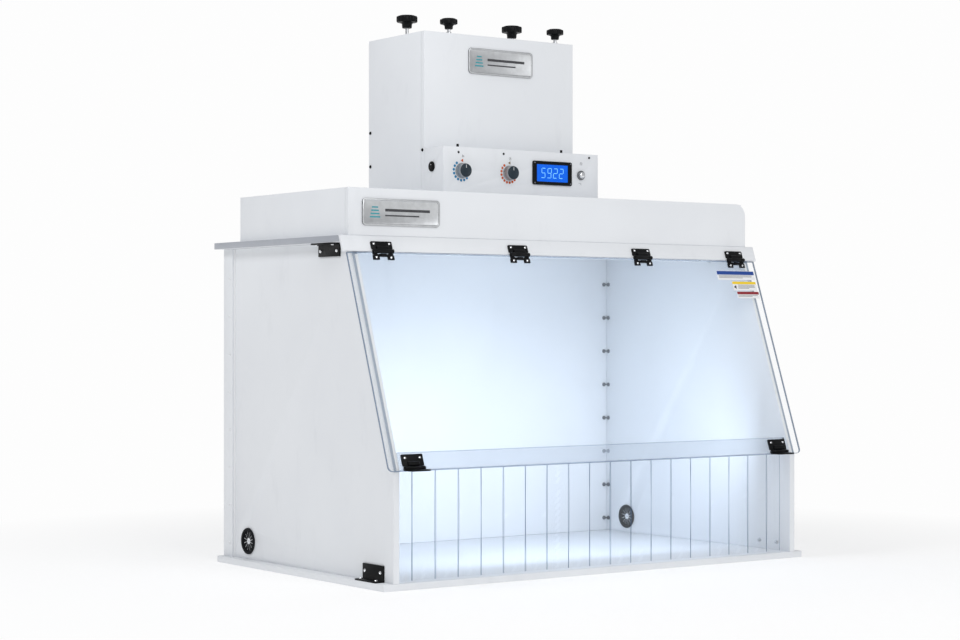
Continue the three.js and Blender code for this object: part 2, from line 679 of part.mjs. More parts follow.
// ---- blank nameplates: rounded plates with a raised rim ----
function nameplate(name, x0, x1, z0, z1, face) {
  const rim = 3.5;
  const plate = prism("y", roundRect(x0, x1, z0, z1, [7, 7, 7, 7], 5), face - 3, face);
  const field = roundRect(x0 + rim, x1 - rim, z0 + rim, z1 - rim, [4.5, 4.5, 4.5, 4.5], 5);
  add(name, cut(plate, prism("y", field, face - 4, face - 2)), STEEL);
}
nameplate("nameplate_plenum", -460, -288, Z_DECK + 19, Z_DECK + 69, PL_FRONT);
nameplate("nameplate_tower", -80, 80, Z_TOWER - 78, Z_TOWER - 26, TW_FRONT);

export default group;
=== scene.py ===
import json
import math

import bmesh
import bpy
from mathutils import Matrix, Vector


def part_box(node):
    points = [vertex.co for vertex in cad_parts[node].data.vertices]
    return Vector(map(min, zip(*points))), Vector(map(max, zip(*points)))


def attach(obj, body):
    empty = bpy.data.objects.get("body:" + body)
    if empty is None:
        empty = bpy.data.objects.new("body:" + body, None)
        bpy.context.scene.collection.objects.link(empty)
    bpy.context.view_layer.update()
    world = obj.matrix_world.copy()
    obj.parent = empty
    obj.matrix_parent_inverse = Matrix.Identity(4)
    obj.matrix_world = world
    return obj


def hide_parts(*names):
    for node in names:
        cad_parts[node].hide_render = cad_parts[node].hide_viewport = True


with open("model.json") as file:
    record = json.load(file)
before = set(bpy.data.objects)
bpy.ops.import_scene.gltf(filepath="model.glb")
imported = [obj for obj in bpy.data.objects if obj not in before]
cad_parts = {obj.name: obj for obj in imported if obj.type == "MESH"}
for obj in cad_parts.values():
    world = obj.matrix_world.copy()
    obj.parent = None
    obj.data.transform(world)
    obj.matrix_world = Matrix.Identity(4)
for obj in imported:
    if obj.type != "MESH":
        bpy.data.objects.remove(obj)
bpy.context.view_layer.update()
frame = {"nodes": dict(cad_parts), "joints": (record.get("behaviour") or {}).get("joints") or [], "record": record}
nodes = frame["nodes"]
scene = bpy.context.scene
MM = 0.001


# ---------------------------------------------------------------- camera
camera = bpy.data.objects.new("camera", bpy.data.cameras.new("camera"))
scene.collection.objects.link(camera)
camera.data.sensor_width = 36.0
camera.data.lens = 80.4
camera.data.clip_end = 200.0
camera.location = (-2.572, -3.483, 0.465)
camera.rotation_euler = (math.radians(90.24), 0.0, math.radians(-35.57))
scene.camera = camera


# ---------------------------------------------------------------- finishes
class Finish:
    """One procedural finish on a Principled shader, patterned in object space."""

    def __init__(self, name, metallic=0.0, **sockets):
        self.material = bpy.data.materials.new(name)
        self.material.use_nodes = True
        self.tree = self.material.node_tree
        self.shader = self.tree.nodes["Principled BSDF"]
        self.shader.inputs["Metallic"].default_value = metallic
        for socket, value in sockets.items():
            self.shader.inputs[socket.replace("_", " ")].default_value = value
        self.place = self.add("ShaderNodeTexCoord").outputs["Object"]
        self.relief = None

    def add(self, kind, **settings):
        node = self.tree.nodes.new(kind)
        for key, value in settings.items():
            setattr(node, key, value)
        return node

    def link(self, source, target):
        self.tree.links.new(source, target)

    def stretched(self, factors, turn=(0.0, 0.0, 0.0)):
        node = self.add("ShaderNodeMapping")
        node.inputs["Scale"].default_value = factors
        node.inputs["Rotation"].default_value = turn
        self.link(self.place, node.inputs["Vector"])
        return node.outputs["Vector"]

    def noise(self, scale, detail=3.0, roughness=0.55, distortion=0.0, place=None):
        node = self.add("ShaderNodeTexNoise")
        node.inputs["Scale"].default_value = scale
        node.inputs["Detail"].default_value = detail
        node.inputs["Roughness"].default_value = roughness
        node.inputs["Distortion"].default_value = distortion
        self.link(place or self.place, node.inputs["Vector"])
        return node.outputs["Fac"]

    def cells(self, scale, feature="F1", place=None):
        node = self.add("ShaderNodeTexVoronoi", feature=feature)
        node.inputs["Scale"].default_value = scale
        self.link(place or self.place, node.inputs["Vector"])
        return node.outputs["Distance"]

    def spread(self, value, low, high, from_low=0.3, from_high=0.7):
        node = self.add("ShaderNodeMapRange")
        node.inputs["From Min"].default_value = from_low
        node.inputs["From Max"].default_value = from_high
        node.inputs["To Min"].default_value = low
        node.inputs["To Max"].default_value = high
        self.link(value, node.inputs["Value"])
        return node.outputs["Result"]

    def blend(self, share, first, second, how="MIX"):
        node = self.add("ShaderNodeMix", data_type="RGBA", blend_type=how)
        factor, a, b = node.inputs[0], node.inputs[6], node.inputs[7]
        for socket, value in ((factor, share), (a, first), (b, second)):
            if hasattr(value, "links"):
                self.link(value, socket)
            elif isinstance(value, tuple):
                socket.default_value = (*value, 1.0)
            else:
                socket.default_value = value
        return node.outputs[2]

    def colour(self, source):
        if isinstance(source, tuple):
            self.shader.inputs["Base Color"].default_value = (*source, 1.0)
        else:
            self.link(source, self.shader.inputs["Base Color"])
        return self

    def rough(self, value, low, high, from_low=0.3, from_high=0.7):
        share = self.spread(value, low, high, from_low, from_high)
        self.link(share, self.shader.inputs["Roughness"])
        return self

    def raise_by(self, height, distance, strength=1.0):
        node = self.add("ShaderNodeBump")
        node.inputs["Distance"].default_value = distance
        node.inputs["Strength"].default_value = strength
        self.link(height, node.inputs["Height"])
        if self.relief:
            self.link(self.relief, node.inputs["Normal"])
        self.relief = node.outputs["Normal"]
        self.link(self.relief, self.shader.inputs["Normal"])
        return self


def sheet_plastic(name, pale, dull, scuff):
    f = Finish(name, Specular_IOR_Level=0.42, Coat_Weight=0.06, Coat_Roughness=0.25)
    cloud = f.noise(3.5, 4.0)
    handling = f.noise(22.0, 5.0, 0.65, place=f.stretched((1.0, 1.0, 0.35)))
    brushed = f.noise(420.0, 2.0, place=f.stretched((1.0, 1.0, 0.02)))
    tone = f.blend(f.spread(cloud, 0.0, 1.0), pale, dull)
    f.colour(f.blend(f.spread(handling, 0.0, 0.35, 0.58, 0.8), tone, scuff))
    f.rough(f.noise(60.0, 4.0), 0.38, 0.52)
    f.raise_by(f.noise(1100.0, 2.0), 0.00012, 0.35)
    f.raise_by(brushed, 0.00005, 0.3)
    f.raise_by(cloud, 0.002, 0.06)
    return f.material


def clear_sheet(name, tint, alpha, roughness, ripple):
    f = Finish(name, Alpha=alpha, IOR=1.49, Specular_IOR_Level=0.5)
    cloud = f.noise(5.0, 3.0)
    f.colour(f.blend(f.spread(cloud, 0.0, 1.0), tint, tuple(0.94 * c for c in tint)))
    f.rough(f.noise(35.0, 4.0, place=f.stretched((1.0, 1.0, 0.2))), roughness, roughness + 0.06)
    f.raise_by(cloud, ripple, 0.25)
    return f.material


def dark_hardware(name, tone, rubbed, low, high, grain):
    f = Finish(name, Specular_IOR_Level=0.14)
    wear = f.noise(260.0, 5.0, 0.7)
    dust = f.noise(45.0, 3.0)
    base = f.blend(f.spread(wear, 0.0, 0.55, 0.6, 0.78), tone, rubbed)
    f.colour(f.blend(f.spread(dust, 0.0, 0.12, 0.5, 0.85), base, (0.04, 0.042, 0.046)))
    f.rough(f.noise(180.0, 3.0), low, high)
    f.raise_by(f.noise(grain, 2.0), 0.00012, 0.55)
    return f.material


def bright_metal(name, tone, low, high, drawn=None):
    f = Finish(name, metallic=1.0)
    cloud = f.noise(90.0, 4.0)
    f.colour(f.blend(f.spread(cloud, 0.0, 1.0), tone, tuple(0.86 * c for c in tone)))
    f.rough(f.noise(240.0, 4.0), low, high)
    if drawn:
        f.raise_by(f.noise(900.0, 3.0, place=f.stretched(drawn)), 0.00006, 0.6)
    return f.material


def ink(name, tone, worn=0.12):
    f = Finish(name)
    patch = f.noise(900.0, 3.0)
    f.colour(f.blend(f.spread(patch, 0.0, worn, 0.5, 0.75), tone, (0.75, 0.77, 0.8)))
    f.rough(f.noise(300.0, 2.0), 0.45, 0.6)
    f.raise_by(patch, 0.00002, 0.4)
    return f.material


def glowing(name, tone, glow, strength):
    f = Finish(name, Specular_IOR_Level=0.2, Coat_Weight=0.05, Coat_Roughness=0.06)
    cloud = f.noise(70.0, 2.0)
    lit = f.blend(f.spread(cloud, 0.0, 1.0), glow, tuple(0.88 * c for c in glow))
    f.colour(tone)
    f.link(lit, f.shader.inputs["Emission Color"])
    f.shader.inputs["Emission Strength"].default_value = strength
    f.rough(f.noise(400.0, 2.0), 0.16, 0.24)
    return f.material


white_sheet = sheet_plastic(
    "white_polypropylene", (0.80, 0.82, 0.845), (0.755, 0.775, 0.805), (0.66, 0.68, 0.71)
)
# A darker grey of the same sheet: painted shade on the top slab's end faces.
shaded_slab_end = sheet_plastic(
    "slab_end_painted_shade", (0.44, 0.46, 0.50), (0.34, 0.36, 0.40), (0.28, 0.30, 0.34)
)
shaded_edge = sheet_plastic(
    "sloping_sheet_edge", (0.34, 0.39, 0.47), (0.30, 0.35, 0.43), (0.26, 0.31, 0.38)
)
bead_plastic = sheet_plastic("weld_bead", (0.84, 0.85, 0.86), (0.78, 0.79, 0.81), (0.7, 0.71, 0.73))
acrylic = clear_sheet("clear_acrylic", (0.80, 0.90, 0.98), 0.07, 0.03, 0.0004)
# Nearly opaque dark blue for the clear sheets' edge faces: painted shade for the dark look of a clear edge.
acrylic_edge_shade = clear_sheet("acrylic_edge_painted_shade", (0.16, 0.22, 0.32), 0.9, 0.18, 0.0001)
rail_acrylic = clear_sheet("rail_acrylic", (0.56, 0.66, 0.80), 0.22, 0.05, 0.0002)
vinyl = clear_sheet("clear_vinyl", (0.84, 0.92, 0.99), 0.04, 0.08, 0.0006)
# Nearly opaque dark blue for the curtain strips' rims: painted shade for the dark look of a clear edge.
vinyl_edge_shade = clear_sheet("vinyl_edge_painted_shade", (0.10, 0.16, 0.26), 0.85, 0.2, 0.0002)
black_coat = dark_hardware(
    "black_coated_metal", (0.003, 0.0033, 0.004), (0.012, 0.013, 0.015), 0.36, 0.5, 1900.0
)
black_moulding = dark_hardware(
    "black_moulding", (0.003, 0.0033, 0.004), (0.011, 0.012, 0.014), 0.32, 0.46, 1400.0
)
black_rubber = dark_hardware(
    "black_rubber", (0.006, 0.007, 0.009), (0.018, 0.02, 0.023), 0.6, 0.78, 800.0
)
chrome = bright_metal("polished_chrome", (0.86, 0.87, 0.89), 0.05, 0.12)
plated = bright_metal("zinc_plated_steel", (0.66, 0.67, 0.69), 0.22, 0.38)
dull_steel = bright_metal("dull_steel", (0.22, 0.23, 0.25), 0.3, 0.45)
brushed = bright_metal("brushed_plate", (0.63, 0.645, 0.66), 0.3, 0.42, (0.03, 1.0, 1.0))
dark_rim = bright_metal("dark_plate_rim", (0.2, 0.21, 0.22), 0.3, 0.42)
skirt_metal = bright_metal("turned_skirt", (0.42, 0.44, 0.46), 0.24, 0.36, (1.0, 0.05, 1.0))
screen_glow = glowing("backlit_screen", (0.001, 0.01, 0.1), (0.001, 0.13, 0.80), 1.0)
digit_glow = glowing("lit_digit", (0.1, 0.3, 0.5), (0.22, 0.62, 1.0), 1.0)
lamp_glow = glowing("lamp_diffuser", (0.9, 0.94, 1.0), (0.85, 0.93, 1.0), 1.2)
blue_ink = ink("blue_ink", (0.0, 0.20, 0.42), 0.04)
orange_ink = ink("orange_ink", (0.55, 0.08, 0.004), 0.04)
tan_ink = ink("tan_ink", (0.22, 0.16, 0.09), 0.05)
grey_ink = ink("grey_ink", (0.10, 0.105, 0.115), 0.1)
navy_label = ink("navy_label", (0.002, 0.05, 0.28), 0.02)
yellow_label = ink("yellow_label", (0.86, 0.60, 0.01), 0.03)
red_label = ink("red_label", (0.26, 0.012, 0.02), 0.03)
label_paper = ink("label_paper", (0.82, 0.83, 0.84), 0.05)
dark_ink = ink("dark_ink", (0.03, 0.03, 0.035))


def dial_cap_finish():
    f = Finish("dial_cap", Specular_IOR_Level=0.35, Coat_Weight=0.05, Coat_Roughness=0.3)
    mottle = f.noise(500.0, 4.0)
    f.colour(f.blend(f.spread(mottle, 0.0, 1.0), (0.006, 0.018, 0.028), (0.011, 0.026, 0.040)))
    f.rough(f.noise(250.0, 3.0), 0.34, 0.46)
    f.raise_by(mottle, 0.00008, 0.5)
    return f.material


def foam_finish():
    f = Finish("seal_foam")
    pores = f.cells(2600.0)
    f.colour(f.blend(f.spread(pores, 0.0, 1.0, 0.0, 0.5), (0.78, 0.80, 0.82), (0.88, 0.89, 0.9)))
    f.rough(f.noise(400.0), 0.8, 0.95)
    f.raise_by(pores, 0.0003, 0.8)
    return f.material


def media_finish():
    f = Finish("filter_media", Sheen_Weight=0.3)
    fibres = f.noise(1600.0, 5.0, 0.7, place=f.stretched((0.2, 1.0, 1.0)))
    f.colour(f.blend(f.spread(fibres, 0.0, 1.0), (0.72, 0.74, 0.7), (0.84, 0.85, 0.82)))
    f.rough(f.noise(90.0), 0.8, 0.95)
    f.raise_by(fibres, 0.0005, 0.8)
    return f.material


dial_cap = dial_cap_finish()
foam = foam_finish()
media = media_finish()


# ---------------------------------------------------------------- making pieces
def shaped_like(node):
    """A merged copy of a CAD node's faces, with its flat faces made whole."""
    bm = bmesh.new()
    bm.from_mesh(nodes[node].data)
    bmesh.ops.remove_doubles(bm, verts=bm.verts[:], dist=2e-6)
    flat = math.radians(0.6)
    bmesh.ops.dissolve_limit(bm, angle_limit=flat, verts=bm.verts[:], edges=bm.edges[:])
    return bm


def bevel_edges(bm, edges, width, segments=1, **settings):
    bmesh.ops.bevel(
        bm,
        geom=edges,
        offset=width,
        offset_type="OFFSET",
        affect="EDGES",
        segments=segments,
        profile=0.5,
        material=-1,
        **settings,
    )


def soften(bm, width, segments=2, sharper=35.0):
    """Rounds the hard edges, by less if the full width takes a corner out of the shape's box."""
    limit = math.radians(sharper)
    plain = bpy.data.meshes.new("plain")
    bm.to_mesh(plain)
    corners = [v.co for v in plain.vertices]
    slack = 0.1 * MM
    low = [min(c[i] for c in corners) - slack for i in range(3)]
    high = [max(c[i] for c in corners) + slack for i in range(3)]
    for share in (1.0, 0.5, 0.25):
        hard = [e for e in bm.edges if e.is_manifold and e.calc_face_angle(0.0) > limit]
        bevel_edges(bm, hard, width * share, segments, clamp_overlap=True)
        if all(low[i] <= v.co[i] <= high[i] for v in bm.verts for i in range(3)):
            return bm
        bm.clear()
        bm.from_mesh(plain)
    return bm


def finish_piece(name, bm, body, materials, crease=32.0, replaces=()):
    """Makes the piece's object, and gives it its body, material slot and replaced CAD nodes."""
    mesh = bpy.data.meshes.new(name)
    bm.to_mesh(mesh)
    bm.free()
    for material in materials:
        mesh.materials.append(material)
    for face in mesh.polygons:
        face.use_smooth = True
    mesh.set_sharp_from_angle(angle=math.radians(crease))
    piece = bpy.data.objects.new(name, mesh)
    scene.collection.objects.link(piece)
    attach(piece, body)
    if replaces:
        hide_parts(*replaces)


def paint_faces(bm, index, chosen):
    for face in bm.faces:
        if chosen(face):
            face.material_index = index


def stamp(bm, shape, matrix, index=0):
    """Adds a transformed copy of a small shape to a piece."""
    copy = shape.copy()
    copy.transform(matrix)
    for face in copy.polygons:
        face.material_index = index
    bm.from_mesh(copy)
    bpy.data.meshes.remove(copy)


def keep_shape(bm, name):
    """Turns a small shape into a mesh that can be stamped many times."""
    mesh = bpy.data.meshes.new(name)
    bmesh.ops.recalc_face_normals(bm, faces=bm.faces[:])
    bm.to_mesh(mesh)
    bm.free()
    return mesh


def facing(point, normal, spin=0.0, size=1.0):
    """The matrix that stands a shape made on z = 0 at a point, facing along a normal."""
    turn = Vector(normal).to_track_quat("Z", "Y").to_matrix().to_4x4()
    return Matrix.Translation(point) @ turn @ Matrix.Rotation(spin, 4, "Z") @ Matrix.Scale(size, 4)


def turned_shape(profile, steps=24):
    """A solid turned about Z from (radius, height) points that start and end on the axis."""
    bm = bmesh.new()
    points = [bm.verts.new((r, 0.0, h)) for r, h in profile]
    rails = [bm.edges.new(pair) for pair in zip(points, points[1:])]
    bmesh.ops.spin(
        bm,
        geom=points + rails,
        axis=(0, 0, 1),
        cent=(0, 0, 0),
        angle=math.tau,
        steps=steps,
        use_merge=True,
        use_duplicate=False,
    )
    bmesh.ops.remove_doubles(bm, verts=bm.verts[:], dist=1e-6)
    bmesh.ops.recalc_face_normals(bm, faces=bm.faces[:])
    return bm


def turned_mesh(name, steps, profile):
    return keep_shape(turned_shape(profile, steps), name)


def screw_shape(radius, height):
    """A pan-head screw seated on z = 0, with a socket in its crown."""
    profile = [
        (0.0, -0.2 * height),
        (radius, -0.2 * height),
        (radius, 0.35 * height),
        (radius * 0.82, 0.85 * height),
        (radius * 0.5, height),
        (radius * 0.46, height),
        (radius * 0.42, 0.45 * height),
        (0.0, 0.45 * height),
    ]
    return turned_mesh("screw", 12, profile)


def add_cone(bm, segments, low_radius, high_radius, depth, **settings):
    """Adds a capped cone about the origin and gives its vertices."""
    made = bmesh.ops.create_cone(
        bm,
        cap_ends=True,
        segments=segments,
        radius1=low_radius,
        radius2=high_radius,
        depth=depth,
        **settings,
    )
    return made["verts"]


def lift(bm, verts, height):
    bmesh.ops.translate(bm, verts=verts, vec=(0, 0, height))


def thicken(bm, faces, height):
    """Carries flat faces up along z as a solid."""
    made = bmesh.ops.extrude_face_region(bm, geom=faces)
    lift(bm, [v for v in made["geom"] if isinstance(v, bmesh.types.BMVert)], height)


def nut_shape(radius, height):
    """A hexagon nut on its washer, with the end of its stud."""
    bm = bmesh.new()
    lift(bm, add_cone(bm, 6, radius, radius, height), height / 2)
    bevel_edges(bm, bm.edges[:], radius * 0.08)
    lift(bm, add_cone(bm, 12, radius * 0.45, radius * 0.4, height * 1.7), height * 0.85)
    lift(bm, add_cone(bm, 20, radius * 1.25, radius * 1.25, height * 0.2), height * 0.1)
    return keep_shape(bm, "nut")


def bar_shape(length, width, height, rounding=0.2):
    """A low bar lying on z = 0 with softened upper edges."""
    bm = bmesh.new()
    bmesh.ops.create_cube(bm, size=1.0)
    bmesh.ops.scale(bm, verts=bm.verts[:], vec=(length, width, height))
    lift(bm, bm.verts[:], height / 2)
    top = [e for e in bm.edges if all(v.co.z > height * 0.9 for v in e.verts)]
    bevel_edges(bm, top, min(width, height) * rounding)
    return keep_shape(bm, "bar")


def disc_shape(radius, height, segments=20):
    bm = bmesh.new()
    lift(bm, add_cone(bm, segments, radius, radius * 0.94, height), height / 2)
    return keep_shape(bm, "disc")


def middle_of(low, high):
    return Vector([(a + b) / 2 for a, b in zip(low, high)])


small_screw = screw_shape(2.4 * MM, 1.5 * MM)
panel_screw = screw_shape(3.4 * MM, 2.0 * MM)
bolt_head = screw_shape(4.2 * MM, 2.6 * MM)
nut = nut_shape(3.6 * MM, 3.6 * MM)

X, Y, Z = Vector((1, 0, 0)), Vector((0, 1, 0)), Vector((0, 0, 1))
body_of_node = {n: b for b, ns in frame["record"]["behaviour"]["bodies"].items() for n in ns}
joint = {j["name"]: j for j in frame["joints"]}

# The sash plane: up along the slope and out of it.
LEAN = math.radians(19.7)
up_slope = Vector((0, math.sin(LEAN), math.cos(LEAN)))
out_slope = Vector((0, -math.cos(LEAN), math.sin(LEAN)))
pivot = Vector(joint["sash_lift"]["pos_m"])
PIVOT_OUT = 10.2 * MM


def on_sash(x, up, out):
    """A point at x, up the slope from the sash's pivot, and out from the panels' sloping edges."""
    return Vector((x, 0, 0)) + pivot + up_slope * up + out_slope * (out - PIVOT_OUT)


# ---------------------------------------------------------------- white sheets
WHITE_NODES = (
    "base_slab side_panel_left side_panel_right back_panel top_slab header_strip "
    "corner_angle_left corner_angle_right plenum_shell plenum_front plenum_top "
    "tower_shell tower_front lid control_box"
).split()
for node in WHITE_NODES:
    shape = soften(shaped_like(node), 0.7 * MM if node == "header_strip" else 0.9 * MM)
    if node.startswith("side_panel"):
        paint_faces(shape, 2, lambda f: f.normal.dot(out_slope) > 0.97)
    # The top slab's end faces take the darker grey finish: painted shade.
    if node == "top_slab":
        ends = [corner[0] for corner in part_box(node)]

        def at_an_end(f):
            x = f.calc_center_median().x
            return abs(f.normal.x) > 0.9 and min(abs(x - end) for end in ends) < 2 * MM

        paint_faces(shape, 1, at_an_end)
    finishes = [white_sheet, shaded_slab_end, shaded_edge]
    finish_piece(node + "_sheet", shape, "cabinet", finishes, replaces=[node])

# ---------------------------------------------------------------- clear sheets
for node, face_finish, edge_finish, body, slot in (
    ("sash", acrylic, acrylic_edge_shade, "sash_unit", "clear_sheet"),
    ("curtain_rail", rail_acrylic, acrylic_edge_shade, "cabinet", "clear_sheet"),
):
    shape = soften(shaped_like(node), 0.5 * MM)
    flat = out_slope if node == "sash" else Y
    # The edge faces take the dark edge finish: painted shade.
    paint_faces(shape, 1, lambda f: abs(f.normal.dot(flat)) < 0.95)
    finish_piece(node + "_pane", shape, body, [face_finish, edge_finish], replaces=[node])


# ---------------------------------------------------------------- slit curtain
FIRST_STRIP, STRIP_PITCH, LAST_STRIP, SLIT = 38.7 * MM, 50.8 * MM, 36.6 * MM, 0.6 * MM
STRIP_THICK = 1.3 * MM
STRIP_RIM = 0.9 * MM  # the width of the painted dark rim that shows on each face along each edge: painted shade


def hanging_strip(bm, left, right, foot, top, centre_y, bow, twist):
    """One clear strip: a thin sheet with a slight bow and twist."""
    fresh = bmesh.new()
    bmesh.ops.create_grid(fresh, x_segments=6, y_segments=16, size=0.5)
    middle, width = (left + right) / 2, right - left
    for v in fresh.verts:
        across, drop = v.co.x, 0.5 - v.co.y
        if 0.3 < abs(across) < 0.4:  # the columns next to the edges move out to the rims
            across = math.copysign(0.5 - STRIP_RIM / width, across)
        curl = bow * math.sin(math.pi * min(1.0, drop * 1.15)) + 0.0006 * math.cos(math.pi * across)
        sway = twist * across * drop * width
        v.co = (middle + across * width, centre_y + curl + sway, top - drop * (top - foot))
    bmesh.ops.solidify(fresh, geom=fresh.faces[:], thickness=STRIP_THICK)
    bmesh.ops.recalc_face_normals(fresh, faces=fresh.faces[:])
    # The strip's sides and a rim along each edge on both faces take the dark edge finish: painted shade.
    clear = width / 2 - STRIP_RIM
    paint_faces(
        fresh, 1, lambda f: abs(f.normal.y) < 0.7 or abs(f.calc_center_median().x - middle) > clear
    )
    strip = bpy.data.meshes.new("strip")
    fresh.to_mesh(strip)
    fresh.free()
    bm.from_mesh(strip)
    bpy.data.meshes.remove(strip)


for node, count in (("curtain_1", 6), ("curtain_2", 7), ("curtain_3", 6)):
    low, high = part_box(node)
    shape = bmesh.new()
    left = low[0] - SLIT / 2
    for i in range(count):
        if node == "curtain_1" and i == 0:
            width = FIRST_STRIP
        elif node == "curtain_3" and i == count - 1:
            width = LAST_STRIP
        else:
            width = STRIP_PITCH
        variety = (i * 7 + count * 3 + int(node[-1]) * 5) % 11
        hanging_strip(
            shape,
            left + SLIT / 2,
            left + width - SLIT / 2,
            low[2],
            high[2],
            (low[1] + high[1]) / 2,
            (variety - 5) * 0.22 * MM,
            (variety % 5 - 2) * 0.008,
        )
        left += width
    finishes = [vinyl, vinyl_edge_shade]
    finish_piece(node + "_strips", shape, body_of_node[node], finishes, 40.0, [node])

# ---------------------------------------------------------------- seals, lamp, inner parts
for node in ("foam_seal_left", "foam_seal_right"):
    shape = soften(shaped_like(node), 0.4 * MM)
    finish_piece(node + "_strip", shape, "cabinet", [foam], replaces=[node])

shape = soften(shaped_like("light_bar"), 1.2 * MM)
paint_faces(shape, 1, lambda f: f.normal.z < -0.5)
finish_piece("lamp_bar", shape, "cabinet", [white_sheet, lamp_glow], replaces=["light_bar"])

shape = shaped_like("filter")
paint_faces(shape, 1, lambda f: 0.2 < abs(f.normal.x) < 0.98)
finishes = [bead_plastic, media]
finish_piece("filter_cartridge", shape, "cabinet", finishes, 20.0, ["filter"])

for node, name in (("fan_housing", "fan_frame"), ("fan_rotor", "fan_wheel")):
    shape = soften(shaped_like(node), 0.6 * MM, 1, 50.0)
    finish_piece(name, shape, body_of_node[node], [black_moulding], 28.0, [node])

shape = soften(shaped_like("stud_frame"), 0.4 * MM, 1, 50.0)
ledge_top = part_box("lid")[0][2]
paint_faces(shape, 1, lambda f: f.calc_center_median().z > ledge_top + 0.2 * MM)
finishes = [white_sheet, plated]
finish_piece("stud_ledge", shape, "cabinet", finishes, 28.0, ["stud_frame"])

# ---------------------------------------------------------------- hinges and lift tabs
LEAF_OUT = 8.6 * MM  # the leaves' outer faces, out from the side panels' sloping edges
COVER_OUT = LEAF_OUT - 0.3 * MM
coated = [black_coat, chrome]


def leaf_screws(shape, x, across, up, spins):
    """Two screws through a leaf, either side of x."""
    for side, spin in zip((-1, 1), spins):
        spot = on_sash(x + side * across, up, LEAF_OUT)
        stamp(shape, small_screw, facing(spot, out_slope, spin), 1)


hinge_cover = bar_shape(27 * MM, 9.5 * MM, 4.6 * MM, 0.35)
hinge_neck = bar_shape(13 * MM, 5.4 * MM, 3.4 * MM, 0.35)
tiny_rivet = disc_shape(1.6 * MM, 0.5 * MM, 14)
NECK_UP = -7.6 * MM
for i in range(1, 5):
    node = f"hinge_upper_{i}"
    x = middle_of(*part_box(node)).x
    shape = soften(shaped_like(node), 0.5 * MM, 2, 40.0)
    stamp(shape, hinge_cover, facing(on_sash(x, 5.2 * MM, COVER_OUT), out_slope))
    leaf_screws(shape, x, 17 * MM, 15 * MM, (i - 1, i + 1))
    finish_piece(f"hinge_{i}_fixed_leaf", shape, "cabinet", coated, 30.0, [node])
    node = f"hinge_lower_{i}"
    shape = soften(shaped_like(node), 0.5 * MM, 2, 40.0)
    stamp(shape, hinge_neck, facing(on_sash(x, NECK_UP, COVER_OUT), out_slope))
    stamp(shape, tiny_rivet, facing(on_sash(x, NECK_UP, LEAF_OUT + 3.0 * MM), out_slope))
    leaf_screws(shape, x, 16 * MM, -11.6 * MM, (-1 - i, 1 - i))
    finish_piece(f"hinge_{i}_sash_leaf", shape, "sash_unit", coated, 30.0, [node])

for side in ("left", "right"):
    hub = Vector(joint[f"lift_tab_{side}_fold"]["pos_m"])
    hub_up = (hub - pivot).dot(up_slope)
    node = f"tab_leaf_{side}"
    shape = soften(shaped_like(node), 0.5 * MM, 2, 40.0)
    leaf_screws(shape, hub.x, 16 * MM, hub_up + 20 * MM, (-1, 1))
    cover_at = on_sash(hub.x, hub_up + 9 * MM, COVER_OUT)
    stamp(shape, hinge_cover, facing(cover_at, out_slope, 0.0, 0.9))
    finish_piece(f"tab_{side}_fixed_leaf", shape, "sash_unit", coated, 30.0, [node])
    node = f"lift_tab_{side}"
    shape = soften(shaped_like(node), 0.5 * MM, 2, 40.0)
    finishes = [black_coat]
    finish_piece(
        f"tab_{side}_finger_leaf", shape, node + "_body", finishes, 30.0, [node]
    )

# ---------------------------------------------------------------- brackets and the panel fastenings
BRACKET_T = 3 * MM
for level in ("top", "bottom"):
    for side, sx in (("left", -1), ("right", 1)):
        node = f"bracket_{level}_{side}"
        low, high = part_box(node)
        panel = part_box(f"side_panel_{side}")
        outer = panel[0][0] if sx < 0 else panel[1][0]
        inner = panel[1][0] if sx < 0 else panel[0][0]
        plate_x = outer + sx * BRACKET_T
        plate_z = (low[2] + high[2]) / 2 + (2 * MM if level == "bottom" else -2 * MM)
        leg_z = high[2] - BRACKET_T if level == "top" else low[2] + BRACKET_T
        leg_up = -Z if level == "top" else Z
        shape = soften(shaped_like(node), 0.7 * MM, 2, 40.0)
        nuts = bmesh.new()
        for y in (low[1] + 9 * MM, high[1] - 9 * MM):
            stamp(shape, panel_screw, facing((plate_x, y, plate_z), X * sx, y * 40), 1)
            stamp(shape, panel_screw, facing((plate_x + sx * 9 * MM, y, leg_z), leg_up, y * 20), 1)
            stamp(nuts, nut, facing((inner, y, plate_z), X * -sx, y * 30))
        finish_piece(node + "_plate", shape, "cabinet", coated, 30.0, [node])
        finish_piece(node + "_nuts", nuts, "cabinet", [plated])

BOLTS_UP = [(40 + 75 * k) * MM for k in range(8)]
for side, sx in (("left", -1), ("right", 1)):
    low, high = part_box(f"corner_angle_{side}")
    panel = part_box(f"side_panel_{side}")
    inner_x = panel[1][0] if sx < 0 else panel[0][0]
    inner_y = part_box("back_panel")[0][1]
    outer_x = low[0] if sx < 0 else high[0]
    heads, nuts = bmesh.new(), bmesh.new()
    side_y, back_x = inner_y - 7 * MM, inner_x - sx * 8 * MM
    for k, z in enumerate(BOLTS_UP):
        stamp(heads, bolt_head, facing((outer_x, side_y, z), X * sx, k, 0.7), 1)
        stamp(nuts, nut, facing((inner_x, side_y, z), X * -sx, k * 0.7))
        stamp(heads, bolt_head, facing((back_x, high[1], z), Y, k * 1.3))
        stamp(nuts, nut, facing((back_x, inner_y, z), -Y, k * 1.9))
    finish_piece(f"corner_bolts_{side}", heads, "cabinet", [plated, bead_plastic])
    finish_piece(f"corner_nuts_{side}", nuts, "cabinet", [dull_steel])

# ---------------------------------------------------------------- cable grommets
PETALS = 12


def petal_shape(inner, outer, thickness, gap):
    """One flap of the slit membrane, centred on the x axis."""
    bm = bmesh.new()
    half = math.pi / PETALS
    corners = []
    for radius, turns in ((inner, (-1, 1)), (outer, (1, 0, -1))):
        for t in turns:
            angle = t * (half - gap / radius / 2)
            corners.append(bm.verts.new((radius * math.cos(angle), radius * math.sin(angle), 0)))
    thicken(bm, [bm.faces.new(corners)], thickness)
    return keep_shape(bm, "petal")


